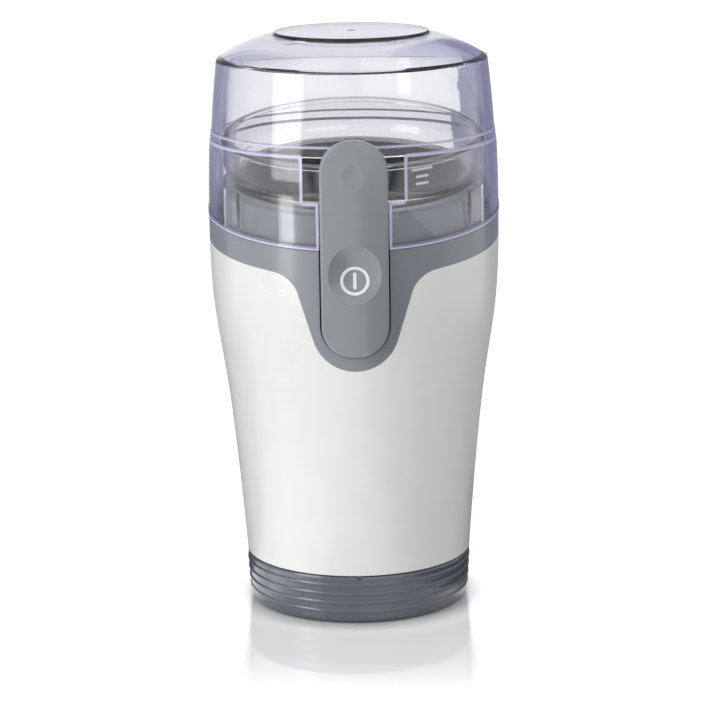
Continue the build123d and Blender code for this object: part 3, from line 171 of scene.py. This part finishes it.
def soft_box(name, azimuth, height, distance, width, tall, watts):
    """Adds an area lamp at an azimuth from the front towards +X, facing the body's middle."""
    turn_to = math.radians(azimuth)
    place = Vector((distance * math.sin(turn_to), -distance * math.cos(turn_to), height))
    lamp = bpy.data.lights.new(name, "AREA")
    lamp.shape = "RECTANGLE"
    lamp.size = width
    lamp.size_y = tall
    lamp.energy = watts
    box = bpy.data.objects.new(name, lamp)
    box.location = place
    box.rotation_euler = (body_middle - place).to_track_quat("-Z", "Y").to_euler()
    bpy.context.scene.collection.objects.link(box)
    return box


soft_box("key_box", -54, 0.45, 1.00, 0.50, 0.90, 5.2)
soft_box("low_strip", -52, 0.045, 0.42, 0.09, 0.09, 0.11)
soft_box("front_box", 26, 0.75, 1.20, 0.90, 0.50, 4.0)

# %% [markdown]
# ## Dark cards
#
# White plastic on a white ground loses its outline. A dark card stands out of view on each
# side, just outside what shows behind the object: the body's edges and the walls of the lid
# mirror and refract the cards, and turn darker, which draws the outline. The standing cards
# fade from grey at the table to a pale violet at the body's middle. More cards lie on the
# sheet, for what the ribbed foot mirrors: a bright one near on the left, and dark ones
# elsewhere.

# %% Card paper
fade_start = -0.40      # in the card's own height, which runs from -0.5 to 0.5
fade_end = -0.28


def card_paper(name, low_shade, high_shade=None):
    """Matt paper for a card, of one shade, or fading upwards to a second one."""
    paper = bpy.data.materials.new(name)
    paper.use_nodes = True
    tree = paper.node_tree
    shader = tree.nodes["Principled BSDF"]
    shader.inputs["Base Color"].default_value = (*low_shade, 1.0)
    shader.inputs["Roughness"].default_value = 0.9
    if high_shade:
        up = tree.nodes.new("ShaderNodeSeparateXYZ")
        tree.links.new(tree.nodes.new("ShaderNodeTexCoord").outputs["Object"], up.inputs[0])
        fade = ramp(tree, up.outputs["Y"], fade_start, fade_end, 0.0, 1.0, "LINEAR")
        shade = tree.nodes.new("ShaderNodeMix")
        shade.data_type = "RGBA"
        shade.inputs["A"].default_value = (*low_shade, 1.0)
        shade.inputs["B"].default_value = (*high_shade, 1.0)
        tree.links.new(fade, shade.inputs["Factor"])
        tree.links.new(shade.outputs["Result"], shader.inputs["Base Color"])
    return paper


near_black = card_paper("near_black_paper", (0.05, 0.05, 0.052))
mid_grey = card_paper("mid_grey_paper", (0.60, 0.60, 0.61))
left_paper = card_paper("left_graded_paper", (0.03, 0.03, 0.032), (0.62, 0.62, 0.76))
right_paper = card_paper("right_graded_paper", (0.42, 0.42, 0.43), (0.40, 0.40, 0.55))
lit_paper = card_paper("lit_white_paper", (0.80, 0.80, 0.80))
lit_shader = lit_paper.node_tree.nodes["Principled BSDF"]
lit_shader.inputs["Emission Color"].default_value = (0.95, 0.97, 1.0, 1.0)
lit_shader.inputs["Emission Strength"].default_value = 1.6
print("card papers ready")


# %% Card helpers
def plain_card(name, width, deep, paper):
    """A card that the camera doesn't see and that throws no shadow."""
    bpy.ops.mesh.primitive_plane_add(size=1.0, location=(0.0, 0.0, 0.0))
    card = bpy.context.active_object
    card.name = name
    card.scale = (width, deep, 1.0)
    card.visible_camera = False
    card.visible_shadow = False
    card.data.materials.append(paper)
    return card


def standing_card(name, azimuth, distance, width, tall, paper):
    """Stands a card at an azimuth, facing the object."""
    card = plain_card(name, width, tall, paper)
    turn_to = math.radians(azimuth)
    card.location = (distance * math.sin(turn_to), -distance * math.cos(turn_to), tall / 2)
    card.rotation_euler = (math.radians(90), 0.0, turn_to)
    return card


def lying_card(name, across, depth, paper):
    """Lays a card just over the sheet that only shows in reflections."""
    over_sheet = 0.002
    card = plain_card(name, across[1] - across[0], depth[1] - depth[0], paper)
    card.location = (sum(across) / 2, sum(depth) / 2, over_sheet)
    card.visible_transmission = False
    card.visible_diffuse = False
    return card


# %% Cards
standing_card("left_card", -134, 0.22, 0.19, 0.50, left_paper)
standing_card("right_card", 141, 0.22, 0.20, 0.50, right_paper)
lying_card("front_card", (0.025, 0.625), (-0.74, -0.14), near_black)
lying_card("left_rear_card", (-0.30, -0.037), (0.010, 0.32), near_black)
lying_card("left_near_card", (-0.150, -0.036), (-0.100, -0.015), lit_paper)
lying_card("right_rear_card", (0.037, 0.30), (-0.045, 0.11), near_black)
lying_card("right_near_card", (0.037, 0.30), (-0.14, -0.045), near_black)
lying_card("right_far_card", (0.046, 0.30), (0.11, 0.32), mid_grey)

# %% [markdown]
# ## Floor
#
# The grinder stands on a glossy white sheet that mirrors its foot faintly. To the camera the
# sheet is a glow over matt white that the object's shadow darkens. The glow is made weaker in
# a ring round the foot, which is a painted contact shadow. A clear gloss over it mirrors more
# at a low angle. The gloss is kept to a strip in front of the foot, so that the cards don't
# show in the sheet. As a source of bounced light it is plain matt white.

# %% Floor sheet
bpy.ops.mesh.primitive_plane_add(size=8.0, location=(0.0, 0.0, 0.0))
floor = bpy.context.active_object
floor.name = "floor_sheet"
sheet_white = bpy.data.materials.new("glossy_white_sheet")
sheet_white.use_nodes = True
sheet = sheet_white.node_tree
sheet.nodes.clear()
sheet_place = sheet.nodes.new("ShaderNodeTexCoord").outputs["Object"]
from_axis = sheet.nodes.new("ShaderNodeVectorMath")
from_axis.operation = "LENGTH"
sheet.links.new(sheet_place, from_axis.inputs[0])
radius = from_axis.outputs["Value"]
sheet_spot = sheet.nodes.new("ShaderNodeSeparateXYZ")
sheet.links.new(sheet_place, sheet_spot.inputs[0])
sideways = math_node(sheet, "ABSOLUTE", sheet_spot.outputs["X"])
backwards = sheet_spot.outputs["Y"]
print("floor sheet placed")

# %% [markdown]
# The sheet's places are told apart by ramps in metres: how far from the drive axis, which
# is under the foot up to 35 mm, how far to the side, and how far to the back.

# %% Floor places
under_foot = 0.033
polished_side = (0.0335, 0.0358)
polished_back = (0.010, 0.030)
strip_front = (-0.200, -0.050)
open_from = (0.060, 0.120)
open_lift = 0.42

# Painted contact shadow: the sheet's glow falls from 0.47 to 0.02 towards the foot, and its
# matt white rises from 0.50 to 0.80 there, so that the real shadow shows more.
glow_with_painted_shadow = ramp(sheet, radius, under_foot, 0.044, 0.02, 0.47)
left_over = ramp(sheet, radius, under_foot, 0.050, 0.80, 0.50)
polished = ramp(sheet, sideways, *polished_side, 1.0, 0.0)
in_front = ramp(sheet, backwards, *polished_back, 1.0, 0.0)
polished_front = math_node(sheet, "MULTIPLY", polished, in_front)
near_foot = ramp(sheet, backwards, *strip_front, 0.0, 1.0)
far_off = ramp(sheet, radius, *open_from, 0.0, 1.0)
unpolished = math_node(sheet, "SUBTRACT", 1.0, polished_front)
open_sheet = math_node(sheet, "MAXIMUM", far_off, unpolished)
# The total glow carries the painted contact shadow. Outside the strip and far off, the glow
# is raised so the sheet is plain white.
total_glow_with_painted_shadow = math_node(sheet, "MULTIPLY_ADD", open_sheet, open_lift, glow_with_painted_shadow)
print("floor places ready")

# %% Floor shaders
bounce = sheet.nodes.new("ShaderNodeBsdfDiffuse")
bounce.inputs["Color"].default_value = (0.92, 0.92, 0.92, 1.0)
shaded = sheet.nodes.new("ShaderNodeBsdfDiffuse")
sheet.links.new(left_over, shaded.inputs["Color"])
# This glow holds the painted contact shadow round the foot.
glow_node_with_painted_shadow = sheet.nodes.new("ShaderNodeEmission")
glow_node_with_painted_shadow.inputs["Color"].default_value = (1.0, 1.0, 1.0, 1.0)
sheet.links.new(total_glow_with_painted_shadow, glow_node_with_painted_shadow.inputs["Strength"])
shown = sheet.nodes.new("ShaderNodeAddShader")
sheet.links.new(shaded.outputs[0], shown.inputs[0])
sheet.links.new(glow_node_with_painted_shadow.outputs[0], shown.inputs[1])
mirror = sheet.nodes.new("ShaderNodeBsdfGlossy")
mirror.inputs["Color"].default_value = (1.0, 1.0, 1.0, 1.0)
mirror.inputs["Roughness"].default_value = 0.05
low_angle = sheet.nodes.new("ShaderNodeFresnel")
low_angle.inputs["IOR"].default_value = 1.62
mirrored = math_node(sheet, "MULTIPLY", polished_front, near_foot)
mirror_share = math_node(sheet, "MULTIPLY", mirrored, low_angle.outputs[0])
sheet_mix = mix_shaders(sheet, mirror_share, shown, mirror)
by_ray = mix_shaders(sheet, seen_or_mirrored(sheet), bounce, sheet_mix)
floor_out = sheet.nodes.new("ShaderNodeOutputMaterial")
sheet.links.new(by_ray.outputs[0], floor_out.inputs["Surface"])
floor.data.materials.append(sheet_white)
print("floor ready")

# %% [markdown]
# ## How a finish is put together
#
# Each finish is a Principled shader whose colour, roughness and surface grain come from
# noise in the piece's own coordinates, in metres. A small class makes the shader and the
# coordinates, and each of its methods adds one kind of detail, so that a finish reads as a
# short list of what the real surface has.

# %% Finish class
MM = 0.001
NOISE_LOW = 0.3         # most of a noise's values lie between these two
NOISE_HIGH = 0.7


class Finish:
    """A Principled material that is being put together."""

    def __init__(self, name, colour, roughness, metallic=0.0):
        self.material = bpy.data.materials.new(name)
        self.material.use_nodes = True
        self.tree = self.material.node_tree
        self.nodes = self.tree.nodes
        self.links = self.tree.links
        self.shader = self.nodes["Principled BSDF"]
        self.shader.inputs["Base Color"].default_value = (*colour, 1.0)
        self.shader.inputs["Roughness"].default_value = roughness
        self.shader.inputs["Metallic"].default_value = metallic
        self.colour = colour
        self.roughness = roughness
        self.place = self.nodes.new("ShaderNodeTexCoord").outputs["Object"]

    def noise(self, grain, detail=4.0, stretch=None):
        """Noise with features of about this size in metres, and stretched if asked."""
        place = self.place
        if stretch:
            mapping = self.nodes.new("ShaderNodeMapping")
            mapping.inputs["Scale"].default_value = stretch
            self.links.new(place, mapping.inputs["Vector"])
            place = mapping.outputs["Vector"]
        texture = self.nodes.new("ShaderNodeTexNoise")
        texture.inputs["Scale"].default_value = 1.0 / grain
        texture.inputs["Detail"].default_value = detail
        self.links.new(place, texture.inputs["Vector"])
        return texture.outputs["Fac"]

    def mottle(self, source, amount):
        """Varies the colour either side of the plain one."""
        shades = self.nodes.new("ShaderNodeValToRGB")
        low = [c * (1 - amount) for c in self.colour]
        high = [min(1.0, c * (1 + amount)) for c in self.colour]
        shades.color_ramp.elements[0].position = NOISE_LOW
        shades.color_ramp.elements[0].color = (*low, 1.0)
        shades.color_ramp.elements[1].position = NOISE_HIGH
        shades.color_ramp.elements[1].color = (*high, 1.0)
        self.links.new(source, shades.inputs["Fac"])
        self.links.new(shades.outputs["Color"], self.shader.inputs["Base Color"])

    def wear(self, source, amount):
        """Varies the roughness either side of the plain one."""
        low, high = self.roughness - amount, self.roughness + amount
        spread = ramp(self.tree, source, NOISE_LOW, NOISE_HIGH, low, high, "LINEAR")
        self.links.new(spread, self.shader.inputs["Roughness"])

    def grain(self, source, depth):
        """Raises the surface by the source, over a depth in metres."""
        bump = self.nodes.new("ShaderNodeBump")
        bump.inputs["Distance"].default_value = depth
        bump.inputs["Strength"].default_value = 1.0
        self.links.new(source, bump.inputs["Height"])
        self.links.new(bump.outputs["Normal"], self.shader.inputs["Normal"])

    def coat(self, weight, roughness):
        """Lays a clear gloss over the surface."""
        self.shader.inputs["Coat Weight"].default_value = weight
        self.shader.inputs["Coat Roughness"].default_value = roughness


def dress(finish, *names):
    """Gives the CAD nodes of these names a finish."""
    for name in names:
        node = nodes[name]
        node.data.materials.clear()
        node.data.materials.append(finish.material)


print("finish helpers ready")

# %% [markdown]
# ## White body
#
# The body is injection moulded in a glossy, slightly pearly white. A soft sheen over a
# faint unevenness, as moulded plastic has, keeps it from looking like paper.

# %% White body finish
pearl_white = Finish("pearl_white_plastic", (0.80, 0.80, 0.785), 0.30)
pearl_white.mottle(pearl_white.noise(9 * MM, 2.0), 0.012)
pearl_white.wear(pearl_white.noise(25 * MM, 2.0), 0.03)
pearl_white.grain(pearl_white.noise(0.6 * MM, 2.0), 0.004 * MM)
pearl_white.coat(0.18, 0.16)
dress(pearl_white, "body_shell")
print("body:", pearl_white.material.name)

# %% [markdown]
# ## Grey plastics
#
# Collar, lever and base are cool grey with a fine satin grain. The lever is polished a
# little more than the collar. The base is much darker, and glossy enough that its ribs
# catch the light as thin lines.


# %% Grey finishes
def moulded_grey(name, colour, roughness, patch, mottled, worn_patch, grain):
    """Satin plastic with shades in patches, a change of gloss in others, and a fine grain."""
    finish = Finish(name, colour, roughness)
    finish.mottle(finish.noise(patch, 3.0), mottled)
    finish.wear(finish.noise(worn_patch, 2.0), 0.04)
    finish.grain(finish.noise(grain, 2.0), 0.006 * MM)
    return finish


satin_grey = moulded_grey(
    "satin_grey_plastic", (0.215, 0.235, 0.260), 0.36, 6 * MM, 0.02, 14 * MM, 0.25 * MM
)
satin_grey.coat(0.6, 0.18)
dress(satin_grey, "collar")

lever_grey = moulded_grey(
    "lever_grey_plastic", (0.225, 0.243, 0.262), 0.33, 5 * MM, 0.02, 12 * MM, 0.25 * MM
)
lever_grey.coat(0.7, 0.14)
dress(lever_grey, "front_lever")

base_grey = moulded_grey(
    "base_grey_plastic", (0.078, 0.088, 0.112), 0.30, 6 * MM, 0.03, 12 * MM, 0.3 * MM
)
base_grey.coat(0.7, 0.20)
dress(base_grey, "base_housing")

pale_mark = Finish("pale_inlay", (0.80, 0.80, 0.78), 0.45)
pale_mark.mottle(pale_mark.noise(2 * MM, 3.0), 0.02)
dress(pale_mark, "power_symbol", "level_marks")
print("outer finishes ready")

# %% [markdown]
# ## Clear plastics
#
# The lid and the cup are clear plastic with a violet tint that shows where light travels
# far through it: along the rims, the notch and the ribs. An absorbing volume inside a clear
# surface does most of that. The surface's own colour deepens where it is seen edge on,
# which is where the way through a thin wall is longest.

# %% Clear finishes
FACE_ON_TINT = 0.965


def clear_plastic(name, tint, density, edge, roughness):
    """Clear plastic with a tint that deepens with the light's way through it."""
    finish = Finish(name, (0.985, 0.985, 0.995), roughness)
    finish.shader.inputs["Transmission Weight"].default_value = 1.0
    finish.shader.inputs["IOR"].default_value = 1.5
    finish.grain(finish.noise(18 * MM, 1.0), 0.03 * MM)
    facing = finish.nodes.new("ShaderNodeLayerWeight")
    facing.inputs["Blend"].default_value = 0.5
    edge_on = math_node(finish.tree, "POWER", facing.outputs["Facing"], 3.0)
    tinted = finish.nodes.new("ShaderNodeMix")
    tinted.data_type = "RGBA"
    tinted.inputs["A"].default_value = (FACE_ON_TINT, FACE_ON_TINT, FACE_ON_TINT, 1.0)
    tinted.inputs["B"].default_value = (*edge, 1.0)
    finish.links.new(edge_on, tinted.inputs["Factor"])
    finish.links.new(tinted.outputs["Result"], finish.shader.inputs["Base Color"])
    absorb = finish.nodes.new("ShaderNodeVolumeAbsorption")
    absorb.inputs["Color"].default_value = (*tint, 1.0)
    absorb.inputs["Density"].default_value = density
    finish.links.new(absorb.outputs[0], finish.nodes["Material Output"].inputs["Volume"])
    return finish


violet_clear = clear_plastic(
    "violet_clear_plastic", (0.40, 0.40, 0.60), 55.0, (0.52, 0.52, 0.80), 0.02
)
dress(violet_clear, "lid")
cup_clear = clear_plastic(
    "cup_clear_plastic", (0.50, 0.51, 0.56), 60.0, (0.50, 0.52, 0.60), 0.03
)
dress(cup_clear, "chamber_cup")
print("clear finishes ready")

# %% [markdown]
# ## The lid's painted edge highlights
#
# A moulded lid catches light along its edges: the two corners of its ring, the steps of the
# notch for the lever, and the lip. Those bright lines are painted highlights. A mask of thin
# bands in the lid's own place turns the clear finish a pale violet that lets little light
# through, so the edges stay where the shape has them.

# %% Where the edges are
LID_RING_TOP = 150.0 * MM
LID_RING_FOOT = 147.4 * MM
NOTCH_STEP = 133.6 * MM
NOTCH_WIDE = 15.1 * MM
NOTCH_NARROW = 10.5 * MM
LIP_PLANE = 125.1 * MM
LIP_RISE = math.tan(math.radians(7.5))

lid = violet_clear.tree
lid_spot = lid.nodes.new("ShaderNodeSeparateXYZ")
lid.links.new(violet_clear.place, lid_spot.inputs[0])
aside = math_node(lid, "ABSOLUTE", lid_spot.outputs["X"])
upward = lid_spot.outputs["Z"]
facing_lever = math_node(lid, "LESS_THAN", lid_spot.outputs["Y"], 0.0)
above_lip = math_node(lid, "MULTIPLY_ADD", lid_spot.outputs["Y"], -LIP_RISE, upward)


def band(value, edge, before, after):
    """1 from this many millimetres before an edge to this many after it, and 0 elsewhere."""
    start, end = edge - before * MM, edge + after * MM
    return math_node(lid, "COMPARE", value, (start + end) / 2, (end - start) / 2)


def between(value, start, end):
    """1 where the value lies between the two, and 0 elsewhere."""
    return math_node(lid, "COMPARE", value, (start + end) / 2, (end - start) / 2)


def either(*masks):
    """1 where any of the masks is 1."""
    joined = masks[0]
    for mask in masks[1:]:
        joined = math_node(lid, "MAXIMUM", joined, mask)
    return joined


def both(first, second):
    """1 where both masks are 1."""
    return math_node(lid, "MULTIPLY", first, second)


print("lid edges placed")

# %% Painted edge highlights
over_notch = math_node(lid, "LESS_THAN", aside, NOTCH_WIDE)
ring_top = band(upward, LID_RING_TOP, 0.2, 0.3)
ring_foot_all_round = band(upward, LID_RING_FOOT, 0.6, 0.2)
ring_foot = math_node(lid, "SUBTRACT", ring_foot_all_round, both(over_notch, facing_lever))
wide_rise = between(upward, NOTCH_STEP, LID_RING_FOOT)
wide_edge = both(band(aside, NOTCH_WIDE, 0.1, 0.7), wide_rise)
narrow_rise = math_node(lid, "LESS_THAN", upward, NOTCH_STEP)
narrow_edge = both(band(aside, NOTCH_NARROW, 0.1, 0.7), narrow_rise)
step_edge = both(between(aside, NOTCH_NARROW, NOTCH_WIDE), band(upward, NOTCH_STEP, 0.7, 0.1))
notch_edges = both(either(wide_edge, narrow_edge, step_edge), facing_lever)
lip_edge = band(above_lip, LIP_PLANE, 0.5, 0.9)
# Painted highlight: these bands stand for light caught along the lid's edges.
painted_edge_highlight = either(ring_top, ring_foot, notch_edges, lip_edge)

# The painted highlight is a pale violet that lets little light through.
edge_highlight_mix = lid.nodes.new("ShaderNodeMix")
edge_highlight_mix.data_type = "RGBA"
edge_highlight_mix.inputs["B"].default_value = (0.72, 0.70, 0.90, 1.0)
clear_tint = violet_clear.shader.inputs["Base Color"].links[0].from_socket
lid.links.new(clear_tint, edge_highlight_mix.inputs["A"])
lid.links.new(painted_edge_highlight, edge_highlight_mix.inputs["Factor"])
lid.links.new(edge_highlight_mix.outputs["Result"], violet_clear.shader.inputs["Base Color"])
clear_share = math_node(lid, "MULTIPLY_ADD", painted_edge_highlight, -0.75, 1.0)
lid.links.new(clear_share, violet_clear.shader.inputs["Transmission Weight"])
print("lid edges ready")

# %% [markdown]
# ## Metals
#
# Turned and pressed steel shows the tool: fine rings on the bowl and shafts, long scratches
# along the blade. Stretched noise gives both, as grain and as a change of roughness.


# %% Metal helper
def brushed(name, colour, roughness, stretch, depth=0.004 * MM):
    """Metal with fine marks that run along the least stretched axis."""
    finish = Finish(name, colour, roughness, metallic=1.0)
    marks = finish.noise(1.0 * MM, 5.0, stretch)
    finish.mottle(marks, 0.05)
    finish.wear(marks, 0.07)
    finish.grain(marks, depth)
    return finish


def even(stretch):
    """The same stretch along each axis."""
    return (stretch, stretch, stretch)


# %% Steel
bowl_steel = brushed("pressed_steel", (0.66, 0.66, 0.65), 0.24, (1.0, 1.0, 14.0))
dress(bowl_steel, "grinding_bowl")
blade_steel = brushed("ground_steel", (0.62, 0.62, 0.61), 0.26, (0.6, 9.0, 9.0), 0.008 * MM)
dress(blade_steel, "blade", "blade_nut")
turned_steel = brushed("turned_steel", (0.55, 0.55, 0.56), 0.22, (1.0, 1.0, 18.0))
dress(turned_steel, "blade_shaft", "motor_shaft", "lever_pin")
spring_steel = brushed("drawn_wire", (0.40, 0.40, 0.41), 0.32, even(3.0))
dress(spring_steel, "lever_springs", "brush_springs")
zinc_plate = brushed("zinc_plate", (0.64, 0.64, 0.58), 0.30, even(2.0))
dress(zinc_plate, "base_screws", "collar_screws", "motor_screws")
dress(zinc_plate, "mount_screws", "switch_screws")
sheet_stack = brushed("stacked_sheet", (0.30, 0.30, 0.31), 0.42, (0.4, 0.4, 4.0), 0.05 * MM)
dress(sheet_stack, "stator_core", "armature_core")
print("steel finishes ready")

# %% Cast, bronze, brass and copper
cast_metal = Finish("cast_metal", (0.55, 0.56, 0.57), 0.48, metallic=1.0)
cast_metal.wear(cast_metal.noise(3 * MM), 0.08)
cast_metal.grain(cast_metal.noise(0.7 * MM), 0.05 * MM)
dress(cast_metal, "lower_bracket", "upper_bracket")
bronze = Finish("sintered_bronze", (0.50, 0.33, 0.14), 0.45, metallic=1.0)
bronze.mottle(bronze.noise(0.5 * MM), 0.15)
bronze.grain(bronze.noise(0.3 * MM), 0.02 * MM)
dress(bronze, "lower_bearing", "upper_bearing", "shaft_bushing")
brass = brushed("bright_brass", (0.72, 0.52, 0.20), 0.28, even(2.0))
dress(brass, "brush_holders")
copper_bars = brushed("copper_bars", (0.78, 0.38, 0.20), 0.25, (1.0, 1.0, 16.0))
dress(copper_bars, "commutator")
enamelled = brushed("enamelled_wire", (0.48, 0.16, 0.05), 0.30, (1.0, 1.0, 6.0), 0.10 * MM)
dress(enamelled, "armature_windings", "field_coil_left", "field_coil_right")
print("metal finishes ready")

# %% [markdown]
# ## Rubber, dark plastics and the small electrical pieces
#
# These sit under the base or inside the body. Rubber is matt and coarse, the dark plastics
# are finer, and the moulded cases of the electrical pieces are smooth and plain in colour.

# %% Small finishes
rubber = Finish("black_rubber", (0.022, 0.022, 0.023), 0.75)
rubber.mottle(rubber.noise(1.5 * MM), 0.25)
rubber.grain(rubber.noise(0.35 * MM), 0.03 * MM)
dress(rubber, "rubber_feet", "cord_gland", "shaft_seal", "mount_washers", "motor_cushion")
dark_plastic = Finish("dark_plastic", (0.035, 0.036, 0.038), 0.42)
dark_plastic.mottle(dark_plastic.noise(4 * MM), 0.10)
dark_plastic.grain(dark_plastic.noise(0.3 * MM), 0.01 * MM)
dress(dark_plastic, "chamber_base", "cooling_fan", "blade_coupling")
dress(dark_plastic, "drive_coupling", "microswitch")
ivory_plastic = Finish("ivory_plastic", (0.66, 0.63, 0.55), 0.40)
ivory_plastic.mottle(ivory_plastic.noise(3 * MM), 0.05)
dress(ivory_plastic, "thrust_washer", "switch_plunger", "thermal_fuse")
carbon = Finish("carbon_block", (0.03, 0.03, 0.032), 0.55)
carbon.mottle(carbon.noise(0.6 * MM), 0.3)
carbon.grain(carbon.noise(0.3 * MM), 0.02 * MM)
dress(carbon, "carbon_brushes")
yellow_case = Finish("capacitor_case", (0.62, 0.36, 0.04), 0.28)
yellow_case.mottle(yellow_case.noise(3 * MM), 0.05)
dress(yellow_case, "suppression_capacitor")
undressed = [n for n, o in nodes.items() if "slot" in o.data.materials[0].name]
print("nodes without a finish:", undressed)
